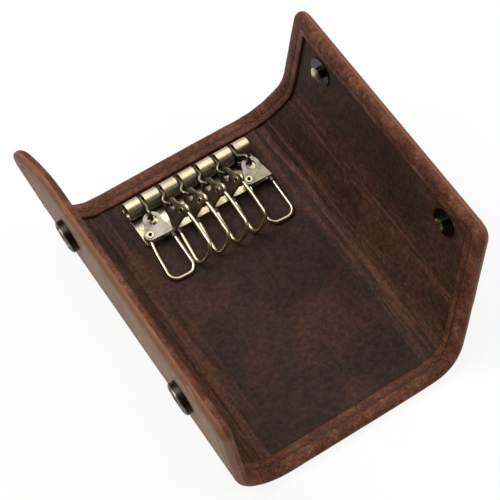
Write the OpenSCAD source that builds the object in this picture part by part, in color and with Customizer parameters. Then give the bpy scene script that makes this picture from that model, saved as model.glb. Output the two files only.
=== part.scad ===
// Three-fold leather key case, lying open, with a six-hook key rail and two press buttons.
// Frame: +X across the case towards the stud flap, +Y along the case towards the rail, +Z up.
// Origin: the middle of the underside of the centre panel.

/* [Leather case] */
// Length of the case along the folds
case_len = 117; // [100:1:150]
// Width of the centre panel between its two creases
centre_w = 66; // [62:1:90]
// Width of the left spine, crease to crease
left_spine_w = 13; // [12.5:0.5:18]
// Width of the right spine, crease to crease
right_spine_w = 20; // [18.5:0.5:26]
// Width of the left flap, from its crease to its free edge
left_flap_w = 42.3; // [38:0.1:46]
// How much the right spine draws in at each end
spine_taper = 7; // [0:0.1:8]
// How much the right flap draws in further at each end
flap_taper = 2; // [0:0.1:8]
// Radius of the flaps' free corners
corner_r = 4.5; // [3:0.5:10]

/* [Leather layers] */
// Thickness of the outer leather
cover_t = 1.2; // [0.8:0.1:1.6]
// Thickness of the stiffening board
board_t = 0.8; // [0.5:0.1:1.2]
// Thickness of the lining leather
lining_t = 1.0; // [0.7:0.1:1.4]
// Thickness of the turned-in edge on top of the lining
rim_t = 0.9; // [0.6:0.1:1.1]
// Width of the turned-in edge
rim_w = 7; // [5:0.5:9]
// Thickness of the leather that wraps each edge
edge_t = 1.0; // [0.8:0.1:1.5]
// Distance of the board from the edges
board_inset = 3; // [2:0.5:6]
// Gap between the leather of two neighbouring panels at a crease
crease_gap = 0.3; // [0.25:0.05:0.6]

/* [Stitching] */
// Distance of the stitches from the edge
stitch_inset = 4.2; // [3:0.1:5]
// Distance from one stitch to the next
stitch_pitch = 3.3; // [2.5:0.1:5]
// Length of one stitch
stitch_len = 2.2; // [1.5:0.1:2.4]
// Width of the thread
thread_w = 0.5; // [0.3:0.05:0.8]
// Height of a stitch above the leather
thread_h = 0.2; // [0.1:0.05:0.3]

/* [Resting position] */
// Angle of the left spine above the table
left_spine_angle = 40; // [20:1:60]
// Angle of the left flap, further than its spine
left_flap_angle = 44; // [20:1:50]
// Angle of the right spine above the table
right_spine_angle = 65; // [30:1:80]
// Angle of the right flap, further than its spine
right_flap_angle = 18.5; // [5:0.5:40]
// Height of the closed left flap's inner face above the table
closed_gap = 14; // [13.6:0.1:14.2]

/* [Press buttons] */
// Distance of each button from the middle of the case
button_y = 33; // [25:1:40]
// Distance of the sockets from the left flap's crease
socket_reach = 23; // [15:0.5:27]
// Distance of the studs from the right flap's free edge
stud_margin = 13.9; // [12:0.1:20]
// Diameter of the socket
socket_d = 11; // [10.4:0.1:13]
// Height of the socket
socket_h = 2.4; // [2.2:0.1:3]
// Diameter of the socket's opening
socket_bore = 4.8; // [4.8:0.1:5]
// Diameter of the stud's head
stud_head_d = 4.4; // [4.2:0.1:4.6]
// Diameter of the stud's neck
stud_neck_d = 3.6; // [3:0.1:3.8]
// Diameter of the stud's flange
stud_flange_d = 9.6; // [8:0.1:12]
// Thickness of the stud's flange
stud_flange_h = 0.5; // [0.4:0.05:0.7]
// Diameter of the caps on the other side of the leather
cap_d = 11.6; // [9:0.1:13]
// Height of the outer cap
cap_h = 1.0; // [0.8:0.1:1.4]
// Height of the flat cap on the left flap's inner face
back_h = 0.7; // [0.5:0.05:0.7]
// Diameter of the shanks that pass through the leather
shank_d = 3.2; // [2.4:0.1:3.4]
// Clearance between the closed stud flange and the socket
button_clearance = 0.15; // [0.1:0.05:0.3]
// Wire diameter of the spring in the socket
spring_wire = 0.5; // [0.4:0.05:0.6]

/* [Key rail] */
// Number of hooks
hook_count = 6; // [6]
// Distance from one hook to the next
hook_pitch = 7; // [7:0.1:7.2]
// Length of the rail
rail_len = 47; // [46:0.5:52]
// Outer diameter of the rolled tube
tube_d = 6.4; // [6.4:0.1:6.8]
// Wall of the rolled tube
tube_wall = 0.6; // [0.4:0.05:0.6]
// Width of the slots in the tube
slot_w = 1.7; // [1.6:0.05:1.9]
// Thickness of the rail's base plate
plate_t = 0.8; // [0.6:0.05:0.8]
// Reach of the base plate in front of the rod
plate_reach = 13; // [9:0.5:14]
// Distance from the rod to the far edge of the case
rail_inset = 13.3; // [12:0.1:20]
// Diameter of the rod inside the tube
rod_d = 1.6; // [1.4:0.05:1.7]
// Shank diameter of the rail's rivets
rivet_d = 2.0; // [1.6:0.1:2.4]

/* [Hooks] */
// Wire diameter of the links
link_wire = 1.4; // [1.2:0.05:1.4]
// Distance between the centres of the link's two bends
link_len = 5.2; // [5.2:0.1:6]
// Radius of the link's bends, to the middle of the wire
link_bend = 1.8; // [1.75:0.05:1.8]
// Thickness of the hook plates
clip_t = 0.9; // [0.7:0.05:0.9]
// Diameter of the link hole in the hook plate
clip_hole_d = 3.6; // [3.5:0.05:3.6]
// Width of plate between that hole and the top of the plate
clip_rim = 1.3; // [1.2:0.05:1.3]
// Distance of the eyelet to the side of the plate's middle
eyelet_u = 3.1; // [3:0.05:3.1]
// Distance of the eyelet below the swing axis of the plate
eyelet_v = 6.8; // [6.8:0.1:7.4]
// Outer diameter of the eyelet's tube
eyelet_d = 1.8; // [1.6:0.05:1.9]
// Bore of the eyelet
eyelet_bore = 1.2; // [1:0.05:1.3]
// Diameter of the eyelet's flanges
eyelet_flange_d = 2.5; // [2.4:0.05:2.5]
// Wire diameter of the key loops
loop_wire = 1.2; // [1:0.05:1.2]
// Length of a key loop from its eyelet to its end
loop_len = 17.4; // [14:0.1:17.6]
// Width of a key loop at its end, between the middles of its wires
loop_w = 9; // [8.8:0.05:9.1]
// Radius of the loop's two corners
loop_corner = 3.2; // [2.4:0.1:4]
// How far the middle hooks lean over
hook_roll = 57; // [57:0.5:58]
// How far all the hooks turn towards the left flap
hook_yaw = 3; // [1:0.5:3]
// How far the first link runs outwards to its plate
first_spread = 0.6; // [0.6:0.05:1]
// How far the last link runs outwards to its plate
last_spread = 2.4; // [2.4:0.05:2.6]

/* [Hidden] */
$fn = 48;

leather = [0.42, 0.23, 0.15];
lining_brown = [0.26, 0.18, 0.14];
board_grey = [0.45, 0.42, 0.38];
thread_dark = [0.14, 0.09, 0.07];
brass = [0.68, 0.60, 0.40];
dark_metal = [0.22, 0.21, 0.20];
steel_grey = [0.55, 0.54, 0.52];

slack = 0.05;   // thickness left free where two curved leather faces meet
tiny = 0.01;    // overlap that joins two shapes of one solid
field_t = cover_t + board_t + lining_t;   // whole thickness inside the turned-in edge
fold_r = field_t - 0.1;                   // radius of the rolled leather at a crease
half_len = case_len / 2;
half_w = centre_w / 2;

// Closed position: each spine leans inwards until its flap lies level.
left_lean = asin((closed_gap - field_t) / left_spine_w);
stud_level = closed_gap + field_t + socket_h + stud_flange_h + button_clearance;
right_lean = asin((stud_level - field_t) / right_spine_w);
socket_closed_x = -half_w + left_spine_w * cos(left_lean) + socket_reach;
stud_reach = half_w - right_spine_w * cos(right_lean) - socket_closed_x;
right_flap_w = stud_reach + stud_margin;   // from its crease to its free edge

// A turned-in edge stops short of a crease, so that two of them never meet when it closes.
base_setback = rim_t * tan((180 - min(left_lean, right_lean)) / 2) + 0.3;
flap_setback = rim_t * tan(max(left_lean, right_lean) / 2) + 0.3;

// Rail
rod_y = half_len - rail_inset;
tube_seat = 0.25;
rod_z = field_t + plate_t + tube_d / 2 - tube_seat;
bore_r = tube_d / 2 - tube_wall;
rivet_x = rail_len / 2 - 3;
rivet_y = rod_y - tube_d / 2 - 2.4;
rivet_tail_h = 0.4;
rivet_tail_r = rivet_d;

// Hooks: which side the eyelet is on, and which hooks lean over
eyelet_side = [-1, 1, 1, 1, 1, -1];
leaning = [0, 1, 1, 1, 1, 0];
spread = [-first_spread, 0, 0, 0, 0, last_spread];
flat_link_drop = -10;    // fall of a level hook's link, in degrees
flat_clip_drop = 6.5;    // fall of a level hook's plate
raised_link_drop = -20;
raised_clip_drop = 0.5;
hole_v = clip_rim / 2 + clip_hole_d / 2;
corner_u = 4.4;
corner_v = eyelet_v + 1.6;
plate_corner_r = 1.9;
loop_gap = 0.03;         // running gap between a loop and its plate
loop_n = -(clip_t / 2 + loop_wire / 2 + loop_gap);
flange_h = 0.25;
crimp_len = 1.6;
crimp_r = loop_wire / 2 + 0.35;

function slot_x(i) = (i - (hook_count - 1) / 2) * hook_pitch;
function link_drop(i) = leaning[i] ? raised_link_drop : flat_link_drop;
function clip_drop(i) = leaning[i] ? raised_clip_drop : flat_clip_drop;
function roll(i) = leaning[i] * hook_roll;

// Points of an arc about c, from angle a to angle b
function arc(c, r, a, b, n = 8) = [for (k = [0 : n]) c + r * [cos(a + (b - a) * k / n), sin(a + (b - a) * k / n)]];

// ---------- leather panels, drawn flat: x from the crease outwards, z = 0 at the inner face ----------

// Places a flat panel at the crease of the left or right side (side = -1 or 1)
module on_base_crease(side, angle) {
    translate([side * half_w, 0, field_t])
    rotate([0, -side * angle, 0])
    mirror([side < 0 ? 1 : 0, 0, 0])
    children();
}

module on_left_spine() { on_base_crease(-1, left_spine_angle) children(); }
module on_right_spine() { on_base_crease(1, right_spine_angle) children(); }
module on_left_flap() {
    on_left_spine() translate([left_spine_w, 0, 0]) rotate([0, -left_flap_angle, 0]) children();
}
module on_right_flap() {
    on_right_spine() translate([right_spine_w, 0, 0]) rotate([0, -right_flap_angle, 0]) children();
}

// Outline of a flap: its crease at x = 0, drawn in by taper at the free edge, with round free corners
function flap_outline(w, half, taper, inset) =
    let (
        slope = atan2(taper, w),
        r = max(corner_r - inset, 0.6),
        x1 = w - inset,
        y0 = half - inset / cos(slope),
        y1 = y0 - x1 * tan(slope),
        c = [x1 - r, y1 + r * tan(slope) - r / cos(slope)]
    )
    concat(
        [[0, -y0]],
        arc([c[0], -c[1]], r, -90 + slope, 0),
        arc(c, r, 0, 90 - slope),
        [[0, y0]]
    );

// Cylinder along y with its upper or whole body, used at creases
module crease_round(r, at_x = 0) {
    translate([at_x, 0, 0])
    rotate([90, 0, 0])
    cylinder(r = r, h = case_len + 20, center = true);
}

// A slab between two depths below the inner face, over a plan outline, hollowed round the crease
module flap_layer(top, bottom, outline) {
    difference() {
        translate([0, 0, bottom])
        linear_extrude(top - bottom)
        polygon(outline);
        crease_round(fold_r + crease_gap);
    }
}

// Strip of a plan outline between two insets, kept clear of the crease
module flap_rim(top, bottom, outer, inner, setback) {
    difference() {
        translate([setback, 0, bottom])
        linear_extrude(top - bottom)
        translate([-setback, 0])
        intersection() {
            difference() {
                polygon(outer);
                polygon(inner);
            }
            translate([setback, -case_len])
            square([case_len, 2 * case_len]);
        }
        crease_round(fold_r + crease_gap);
    }
}

// Outer leather of a flap: outer face, wrapped edge and turned-in edge, in one piece
module flap_cover(w, half, taper, reach) {
    outer = flap_outline(w, half, taper, 0);
    wall = flap_outline(w, half, taper, edge_t);
    inner = flap_outline(w, half, taper, rim_w);
    difference() {
        union() {
            flap_layer(-field_t + cover_t, -field_t, outer);
            flap_rim(tiny, -field_t + cover_t - tiny, outer, wall, 0);
            flap_rim(rim_t, 0, outer, inner, flap_setback);
        }
        button_holes(reach, shank_d / 2 + slack);
    }
}

module flap_lining(w, half, taper, reach) {
    difference() {
        flap_layer(0, -lining_t, flap_outline(w, half, taper, edge_t + slack));
        button_holes(reach, shank_d / 2 + slack);
    }
}

module flap_board(w, half, taper, reach) {
    difference() {
        intersection() {
            flap_layer(-lining_t, -lining_t - board_t, flap_outline(w, half, taper, board_inset));
            translate([board_inset + fold_r, -case_len, -field_t])
            cube([case_len, 2 * case_len, field_t]);
        }
        button_holes(reach, shank_d / 2 + slack);
    }
}

module button_holes(reach, r) {
    for (s = [-1, 1])
        translate([reach, s * button_y, -2 * field_t])
        cylinder(r = r, h = 4 * field_t);
}

// A seam: a flat thread with one raised stitch after another, from point a to point b
module seam(a, b) {
    run = norm(b - a);
    count = floor(run / stitch_pitch);
    step = run / count;
    translate([a[0], a[1], rim_t])
    rotate([0, 0, atan2(b[1] - a[1], b[0] - a[0])])
    union() {
        translate([0, -thread_w / 4, 0])
        cube([run, thread_w / 2, thread_h / 3]);
        for (k = [0 : count - 1])
            translate([(k + 0.5) * step - stitch_len / 2, -thread_w / 2, 0])
            cube([stitch_len, thread_w, thread_h]);
    }
}

module flap_stitching(w, half, taper) {
    slope = atan2(taper, w);
    x0 = fold_r + crease_gap + 1;
    x1 = w - stitch_inset;
    y0 = half - stitch_inset / cos(slope);
    near = [x0, y0 - x0 * tan(slope)];
    far = [x1 - 1, y0 - (x1 - 1) * tan(slope)];
    seam(near, far);
    seam([near[0], -near[1]], [far[0], -far[1]]);
    seam([x1, 1 - far[1]], [x1, far[1] - 1]);
}

// ---------- spines, drawn flat like the flaps, with rolled leather at both creases ----------

// Side view of the rolled strip between two depths, along x, with round ends about both creases
module spine_side(w, outer, inner) {
    difference() {
        union() {
            translate([0, -outer]) square([w, outer]);
            circle(r = outer);
            translate([w, 0]) circle(r = outer);
        }
        translate([-w, 0]) square([4 * w, 2 * outer]);
        if (inner > 0) {
            translate([0, -inner]) square([w, 2 * inner]);
            circle(r = inner);
            translate([w, 0]) circle(r = inner);
        }
    }
}

// Plan of a spine that draws in by taper at the far crease
function spine_outline(w, half, taper, inset) = [
    [-fold_r - 1, half - inset], [0, half - inset], [w, half - taper - inset], [w + fold_r + 1, half - taper - inset],
    [w + fold_r + 1, -half + taper + inset], [w, -half + taper + inset], [0, -half + inset], [-fold_r - 1, -half + inset]
];

module spine_body(w, half, taper, outer, inner, inset) {
    intersection() {
        rotate([90, 0, 0])
        linear_extrude(2 * half + 2, center = true)
        spine_side(w, outer, inner);
        translate([0, 0, -2 * field_t])
        linear_extrude(3 * field_t)
        polygon(spine_outline(w, half, taper, inset));
    }
}

module spine_rim(w, half, taper, end) {
    slope = atan2(taper, w);
    x0 = base_setback;
    x1 = w - flap_setback;
    edge = function (x) half - x * tan(slope);
    translate([0, 0, -tiny])
    linear_extrude(rim_t + tiny)
    polygon([
        [x0, end * edge(x0)], [x1, end * edge(x1)],
        [x1, end * (edge(x1) - rim_w)], [x0, end * (edge(x0) - rim_w)]
    ]);
}

module spine_cover(w, half, taper) {
    union() {
        spine_body(w, half, taper, fold_r, fold_r - cover_t, 0);
        difference() {
            spine_body(w, half, taper, fold_r, 0, 0);
            spine_body(w, half + 1, taper, fold_r, 0, edge_t + 1);
        }
        spine_rim(w, half, taper, 1);
        spine_rim(w, half, taper, -1);
    }
}

module spine_lining(w, half, taper) {
    difference() {
        spine_body(w, half, taper, fold_r - cover_t - slack, 0, edge_t + slack);
        for (end = [-1, 1])
            spine_rim(w, half, taper, end);
    }
}

module spine_stitching(w, half, taper) {
    slope = atan2(taper, w);
    x0 = base_setback + 0.3;
    x1 = w - flap_setback - 0.3;
    y = function (x) half - stitch_inset / cos(slope) - x * tan(slope);
    seam([x0, y(x0)], [x1, y(x1)]);
    seam([x0, -y(x0)], [x1, -y(x1)]);
}

// ---------- centre panel ----------

module centre_layer(bottom, top, inset_y, inset_x) {
    difference() {
        translate([-half_w + inset_x, -half_len + inset_y, bottom])
        cube([centre_w - 2 * inset_x, case_len - 2 * inset_y, top - bottom]);
        for (side = [-1, 1])
            translate([side * half_w, 0, field_t])
            crease_round(fold_r + crease_gap);
    }
}

module centre_cover() {
    color(leather)
    union() {
        centre_layer(0, cover_t, 0, 0);
        difference() {
            centre_layer(cover_t - tiny, field_t + tiny, 0, 0);
            translate([-half_w, -half_len + edge_t, 0])
            cube([centre_w, case_len - 2 * edge_t, 2 * field_t]);
        }
        for (end = [-1, 1])
            translate([-half_w + base_setback, end > 0 ? half_len - rim_w : -half_len, field_t])
            cube([centre_w - 2 * base_setback, rim_w, rim_t]);
    }
}

module centre_board() {
    color(board_grey)
    difference() {
        centre_layer(cover_t, cover_t + board_t, board_inset, board_inset + fold_r);
        for (s = [-1, 1])
            translate([s * rivet_x, rivet_y, 0])
            union() {
                cylinder(r = rivet_d / 2 + slack, h = field_t);
                translate([0, 0, cover_t - 1])
                cylinder(r = rivet_tail_r + slack, h = 1 + rivet_tail_h + slack);
            }
    }
}

module centre_lining() {
    color(lining_brown)
    difference() {
        centre_layer(cover_t + board_t, field_t, edge_t + slack, 0);
        for (s = [-1, 1])
            translate([s * rivet_x, rivet_y, 0])
            cylinder(r = rivet_d / 2 + slack, h = 2 * field_t);
    }
}

module centre_stitching() {
    x = half_w - base_setback - 0.5;
    y = half_len - stitch_inset;
    color(thread_dark)
    translate([0, 0, field_t])
    union() {
        seam([-x, y], [x, y]);
        seam([-x, -y], [x, -y]);
    }
}

module left_spine_cover() {
    color(leather) on_left_spine() spine_cover(left_spine_w, half_len, 0);
}
module left_spine_lining() {
    color(lining_brown) on_left_spine() spine_lining(left_spine_w, half_len, 0);
}
module left_spine_stitching() {
    color(thread_dark) on_left_spine() spine_stitching(left_spine_w, half_len, 0);
}
module left_flap_cover() {
    color(leather) on_left_flap() flap_cover(left_flap_w, half_len, 0, socket_reach);
}
module left_flap_board() {
    color(board_grey) on_left_flap() flap_board(left_flap_w, half_len, 0, socket_reach);
}
module left_flap_lining() {
    color(lining_brown) on_left_flap() flap_lining(left_flap_w, half_len, 0, socket_reach);
}
module left_flap_stitching() {
    color(thread_dark) on_left_flap() flap_stitching(left_flap_w, half_len, 0);
}
module right_spine_cover() {
    color(leather) on_right_spine() spine_cover(right_spine_w, half_len, spine_taper);
}
module right_spine_lining() {
    color(lining_brown) on_right_spine() spine_lining(right_spine_w, half_len, spine_taper);
}
module right_spine_stitching() {
    color(thread_dark) on_right_spine() spine_stitching(right_spine_w, half_len, spine_taper);
}
module right_flap_cover() {
    color(leather) on_right_flap() flap_cover(right_flap_w, half_len - spine_taper, flap_taper, stud_reach);
}
module right_flap_board() {
    color(board_grey) on_right_flap() flap_board(right_flap_w, half_len - spine_taper, flap_taper, stud_reach);
}
module right_flap_lining() {
    color(lining_brown) on_right_flap() flap_lining(right_flap_w, half_len - spine_taper, flap_taper, stud_reach);
}
module right_flap_stitching() {
    color(thread_dark) on_right_flap() flap_stitching(right_flap_w, half_len - spine_taper, flap_taper);
}

// ---------- press buttons ----------

// Puts a button part at both buttons of a flap, z = 0 at the leather's inner face
module at_sockets() {
    on_left_flap()
    for (s = [-1, 1])
        translate([socket_reach, s * button_y, 0])
        children();
}
module at_studs() {
    on_right_flap()
    for (s = [-1, 1])
        translate([stud_reach, s * button_y, 0])
        children();
}

spring_r = stud_neck_d / 2 + 0.25 + spring_wire / 2;   // ring radius to the middle of the spring wire
spring_depth = 0.25;   // from the socket's face down to the spring
spring_level = -field_t - socket_h + spring_depth + spring_wire / 2;
groove_r = spring_r + spring_wire / 2 + slack;
lip_w = 0.6;
lip_h = 0.35;

// Socket on the outer face of the left flap: a drum with a raised ring, a bore and a spring groove
module snap_sockets() {
    color(dark_metal)
    at_sockets()
    difference() {
        union() {
            translate([0, 0, -field_t - socket_h + lip_h])
            cylinder(r = socket_d / 2, h = socket_h - lip_h);
            translate([0, 0, -field_t - socket_h])
            cylinder(r = socket_d / 2 - lip_w, h = socket_h);
        }
        translate([0, 0, -field_t - socket_h - 1])
        cylinder(r = socket_bore / 2, h = socket_h + 2);
        translate([0, 0, spring_level - spring_wire / 2 - slack])
        cylinder(r = groove_r, h = spring_wire + 2 * slack);
        translate([0, 0, -field_t - socket_h - 1])
        difference() {
            cylinder(r = socket_d / 2 - 1.2, h = 1 + lip_h);
            cylinder(r = socket_bore / 2 + 0.8, h = 1 + 2 * lip_h);
        }
    }
}

module socket_springs() {
    color(steel_grey)
    at_sockets()
    translate([0, 0, spring_level])
    rotate_extrude()
    translate([spring_r, 0])
    circle(d = spring_wire, $fn = 24);
}

// Flat cap on the inner face, with the hollow shank that holds the socket
module socket_backs() {
    color(brass)
    at_sockets()
    difference() {
        union() {
            cylinder(r1 = cap_d / 2, r2 = cap_d / 2 - 0.4, h = back_h);
            translate([0, 0, -field_t])
            cylinder(r = shank_d / 2, h = field_t + tiny);
        }
        translate([0, 0, -field_t - 1])
        cylinder(r = shank_d / 2 - 0.5, h = field_t + 0.6);
    }
}

stud_h = socket_h - 0.2;   // height of the stud above its flange

// Stud on the inner face of the right flap: flange, neck and domed head, hollow for its rivet
module snap_studs() {
    head_r = stud_head_d / 2;
    neck_r = stud_neck_d / 2;
    color(brass)
    at_studs()
    difference() {
        union() {
            cylinder(r = stud_flange_d / 2, h = stud_flange_h);
            cylinder(r = neck_r + 0.4, h = stud_flange_h + 0.1);
            cylinder(r = neck_r, h = stud_flange_h + stud_h - 0.6);
            translate([0, 0, stud_flange_h + stud_h - 1.2])
            cylinder(r1 = neck_r, r2 = head_r, h = 0.4);
            translate([0, 0, stud_flange_h + stud_h - 0.8 - tiny])
            cylinder(r = head_r, h = 0.35);
            translate([0, 0, stud_flange_h + stud_h - 0.45 - 2 * tiny])
            cylinder(r1 = head_r, r2 = head_r - 0.7, h = 0.45);
        }
        translate([0, 0, -1])
        cylinder(r = shank_d / 4 + slack, h = stud_flange_h + stud_h);
    }
}

// Domed cap on the outer face, with the pin that is riveted into the stud
module stud_caps() {
    color(brass)
    at_studs()
    union() {
        translate([0, 0, -field_t])
        rotate_extrude()
        polygon(concat(
            [[0, 0]],
            [for (k = [0 : 6]) [cap_d / 2 * cos(15 * k), -cap_h * sin(15 * k)]]
        ));
        translate([0, 0, -field_t - tiny])
        cylinder(r = shank_d / 2, h = field_t);
        translate([0, 0, -2 * tiny])
        cylinder(r = shank_d / 4, h = stud_flange_h + stud_h - 1.2);
    }
}

// ---------- key rail ----------

module key_rail() {
    color(brass)
    difference() {
        union() {
            translate([-rail_len / 2, rod_y - plate_reach, field_t])
            cube([rail_len, plate_reach + tube_d / 2, plate_t]);
            translate([-rail_len / 2, rod_y, rod_z])
            rotate([0, 90, 0])
            cylinder(d = tube_d, h = rail_len);
        }
        translate([-rail_len / 2 - 1, rod_y, rod_z])
        rotate([0, 90, 0])
        cylinder(r = bore_r, h = rail_len + 2);
        for (i = [0 : hook_count - 1])
            translate([slot_x(i) - slot_w / 2, rod_y - tube_d, field_t + plate_t])
            cube([slot_w, 2 * tube_d, 2 * tube_d]);
        for (s = [-1, 1])
            translate([s * rivet_x, rivet_y, field_t])
            union() {
                translate([0, 0, -1])
                cylinder(r = rivet_d / 2 + slack, h = 3);
                translate([0, 0, plate_t / 2])
                cylinder(r = rivet_tail_r + slack, h = plate_t);
            }
    }
}

rod_head_t = 0.8;
rod_head_inset = 0.4;

// Rod through all the links, with a flat head at each end that sits in the tube's bore
module rail_rod() {
    reach = rail_len / 2 - rod_head_inset;
    color(steel_grey)
    translate([0, rod_y, rod_z])
    rotate([0, 90, 0])
    union() {
        cylinder(d = rod_d, h = 2 * reach - tiny, center = true);
        for (s = [-1, 1])
            translate([0, 0, s * (reach - rod_head_t / 2)])
            cylinder(r = bore_r - 0.02, h = rod_head_t, center = true);
    }
}

// Rivets from the base plate through the lining and the board, their tails hidden above the cover
module rail_rivets() {
    color(brass)
    for (s = [-1, 1])
        translate([s * rivet_x, rivet_y, 0])
        union() {
            translate([0, 0, cover_t])
            cylinder(r = rivet_tail_r, h = rivet_tail_h);
            translate([0, 0, cover_t])
            cylinder(d = rivet_d, h = field_t + plate_t - cover_t);
            translate([0, 0, field_t + plate_t / 2])
            cylinder(r = rivet_tail_r, h = plate_t / 2);
        }
}

// ---------- hooks ----------

// A straight piece of round wire between two points
module wire(a, b, d) {
    run = b - a;
    length = norm(run);
    translate(a)
    rotate([0, acos(run[2] / length), atan2(run[1], run[0])])
    cylinder(d = d, h = length);
}

wire_sides = 10;   // sides of a bent wire

// Bent wire along a path, each ring square to it; across[k] points out of the wire's plane at path[k]
module bent_wire(path, across, d, closed = false) {
    n = len(path);
    rings = [
        for (k = [0 : n - 1])
        let (
            ahead = closed ? path[(k + 1) % n] : path[min(k + 1, n - 1)],
            behind = closed ? path[(k + n - 1) % n] : path[max(k - 1, 0)],
            t = (ahead - behind) / norm(ahead - behind),
            flat = across[k] - (across[k] * t) * t,
            a = flat / norm(flat),
            b = cross(t, a)
        )
        for (m = [0 : wire_sides - 1])
        path[k] + d / 2 * (a * cos(360 * m / wire_sides) + b * sin(360 * m / wire_sides))
    ];
    walls = [
        for (k = [0 : closed ? n - 1 : n - 2])
        for (m = [0 : wire_sides - 1])
        let (
            k2 = (k + 1) % n,
            m2 = (m + 1) % wire_sides,
            p00 = k * wire_sides + m,
            p01 = k * wire_sides + m2,
            p10 = k2 * wire_sides + m,
            p11 = k2 * wire_sides + m2
        )
        each [[p00, p11, p01], [p00, p10, p11]]
    ];
    last = (n - 1) * wire_sides;
    ends = closed ? [] : [
        for (m = [1 : wire_sides - 2])
        each [[0, m, m + 1], [last, last + m + 1, last + m]]
    ];
    polyhedron(points = rings, faces = concat(walls, ends));
}

module link_frame(i) {
    translate([slot_x(i), rod_y, rod_z])
    rotate([link_drop(i), 0, 0])
    children();
}

bend_steps = 9;          // steps round each bend of a link
leg_steps = 8;           // steps along each leg of a link
link_exit = tube_d / 2;   // how far a link runs straight before it twists

// A link lies in one plane inside the tube; past it, it twists and shifts to suit its hook plate
function ease(t) = let (c = max(0, min(1, t))) c * c * (3 - 2 * c);
function twist_at(y) = ease((-y - link_exit) / (link_len - link_exit));

// The untwisted link as [y, z] points: a bend about the rod, a leg, a bend, a leg
flat_link = concat(
    [for (k = [0 : bend_steps]) link_bend * [sin(180 * k / bend_steps), cos(180 * k / bend_steps)]],
    [for (k = [1 : leg_steps]) [-link_len * k / (leg_steps + 1), -link_bend]],
    [for (k = [0 : bend_steps]) [-link_len, 0] -
        link_bend * [sin(180 * k / bend_steps), cos(180 * k / bend_steps)]],
    [for (k = [1 : leg_steps]) [-link_len + link_len * k / (leg_steps + 1), link_bend]]
);

function link_point(p, i) =
    let (turn = roll(i) * twist_at(p[0]))
    [spread[i] * twist_at(p[0]) - p[1] * sin(turn), p[0], p[1] * cos(turn)];

// Link: one closed tube along the twisted path
module link(i) {
    path = [for (p = flat_link) link_point(p, i)];
    across = [for (p = flat_link) let (turn = roll(i) * twist_at(p[0])) [cos(turn), 0, sin(turn)]];
    color(brass)
    link_frame(i)
    bent_wire(path, across, link_wire, true);
}

// Hook plate frame: x across, -y down the plate, z out of its upper face, origin on its swing axis
module clip_frame(i) {
    translate([slot_x(i), rod_y, rod_z])
    rotate([link_drop(i), 0, 0])
    translate([spread[i], -link_len, 0])
    rotate([clip_drop(i) - link_drop(i), 0, 0])
    rotate([0, 0, -hook_yaw])
    rotate([0, -roll(i), 0])
    mirror([eyelet_side[i] < 0 ? 1 : 0, 0, 0])
    children();
}

// Outline of a hook plate: round at the top, round at the eyelet, sharp at the catch corner
module clip_outline() {
    top_r = clip_hole_d / 2 + clip_rim;
    union() {
        translate([0, -hole_v]) circle(r = top_r);
        translate([eyelet_u, -eyelet_v]) circle(r = plate_corner_r);
        polygon([
            [-top_r + 0.2, -hole_v], [-corner_u, -corner_v], [-corner_u + 0.5, -corner_v - 0.3],
            [eyelet_u, -eyelet_v - plate_corner_r], [eyelet_u + plate_corner_r, -eyelet_v], [top_r, -hole_v]
        ]);
    }
}

// Hook plate: a hole for the link, a hole for the eyelet and a small tab above the catch corner
module clip_plate(i) {
    tab_u = -corner_u + 0.8;
    tab_v = corner_v - 2.6;
    tab_h = 0.5;
    color(i == 0 || i == 5 ? steel_grey : brass)
    clip_frame(i)
    difference() {
        union() {
            translate([0, 0, -clip_t / 2])
            linear_extrude(clip_t)
            clip_outline();
            translate([tab_u, -tab_v, -clip_t / 2 - tab_h])
            cube([0.7, 1.2, tab_h + tiny]);
        }
        translate([0, -hole_v, -clip_t])
        cylinder(d = clip_hole_d, h = 2 * clip_t);
        translate([eyelet_u, -eyelet_v, -clip_t])
        cylinder(r = eyelet_d / 2 + slack, h = 2 * clip_t);
    }
}

// Tubular eyelet through the plate and the loop's eye, with a flange at each end
module clip_eyelet(i) {
    bottom = loop_n - loop_wire / 2 - 0.02;
    color(brass)
    clip_frame(i)
    translate([eyelet_u, -eyelet_v, 0])
    difference() {
        union() {
            translate([0, 0, bottom - flange_h])
            cylinder(d = eyelet_d, h = clip_t / 2 - bottom + 2 * flange_h);
            translate([0, 0, bottom - flange_h])
            cylinder(d = eyelet_flange_d, h = flange_h);
            translate([0, 0, clip_t / 2])
            cylinder(d = eyelet_flange_d, h = flange_h);
        }
        translate([0, 0, -5])
        cylinder(d = eyelet_bore, h = 10);
    }
}

// Key loop: its legs spread from the eye's width to the full width at the end
loop_eye_r = eyelet_d / 2 + 0.08 + loop_wire / 2;
leg_top_u = eyelet_u + 0.6;
leg_top_v = eyelet_v + loop_eye_r - 0.2;
loop_end_v = eyelet_v + loop_len;
corner_at = loop_end_v - loop_corner;
free_v = corner_v - 0.9;
corner_step = 15;   // degrees from ring to ring round a corner

// The wire's middle line, from the eye down one leg, round the end and up the other leg
loop_line = let (c = loop_w / 2 - loop_corner) concat(
    [[leg_top_u, -leg_top_v, 0]],
    [for (a = [0 : corner_step : 90]) [c, -corner_at, 0] + loop_corner * [cos(a), -sin(a), 0]],
    [for (a = [0 : corner_step : 90]) [-c, -corner_at, 0] - loop_corner * [sin(a), cos(a), 0]],
    [[-leg_top_u, -free_v, 0]]
);

// Key loop: an eye round the eyelet, a leg, a rounded end and a leg back to the catch corner
module key_loop(i) {
    color(brass)
    clip_frame(i)
    translate([0, 0, loop_n])
    union() {
        translate([eyelet_u, -eyelet_v, 0])
        rotate_extrude()
        translate([loop_eye_r, 0])
        circle(d = loop_wire, $fn = 24);
        bent_wire(loop_line, [for (p = loop_line) [0, 0, 1]], loop_wire);
    }
}

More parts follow.
